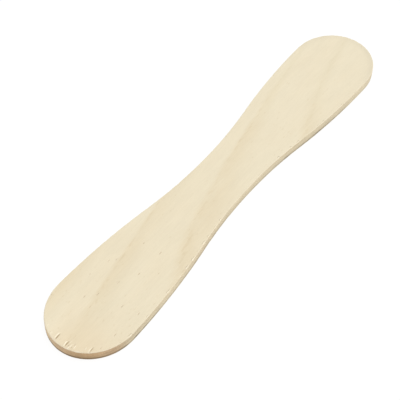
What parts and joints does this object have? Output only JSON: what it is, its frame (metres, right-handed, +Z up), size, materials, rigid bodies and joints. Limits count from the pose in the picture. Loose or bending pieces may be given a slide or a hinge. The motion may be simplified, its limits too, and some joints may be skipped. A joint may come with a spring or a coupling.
{
  "type": "clay modeling tool",
  "caption": "Flat wooden paddle with a broad rounded blade at each end and a narrow waist to hold, for shaping, smoothing and scraping clay.",
  "frame": {"origin": "centre of the flat underside, midway between the two tips", "axes": "+X along the tool from one tip to the other, +Y across the blade, +Z up out of the upper face"},
  "size_m": [0.15, 0.0264, 0.0032],
  "materials": {
    "birch": "bare, fine-sanded pale birch with faint grain lines"
  },
  "bodies": {
    "root": {"birch_paddle": "birch"}
  },
  "joints": []
}
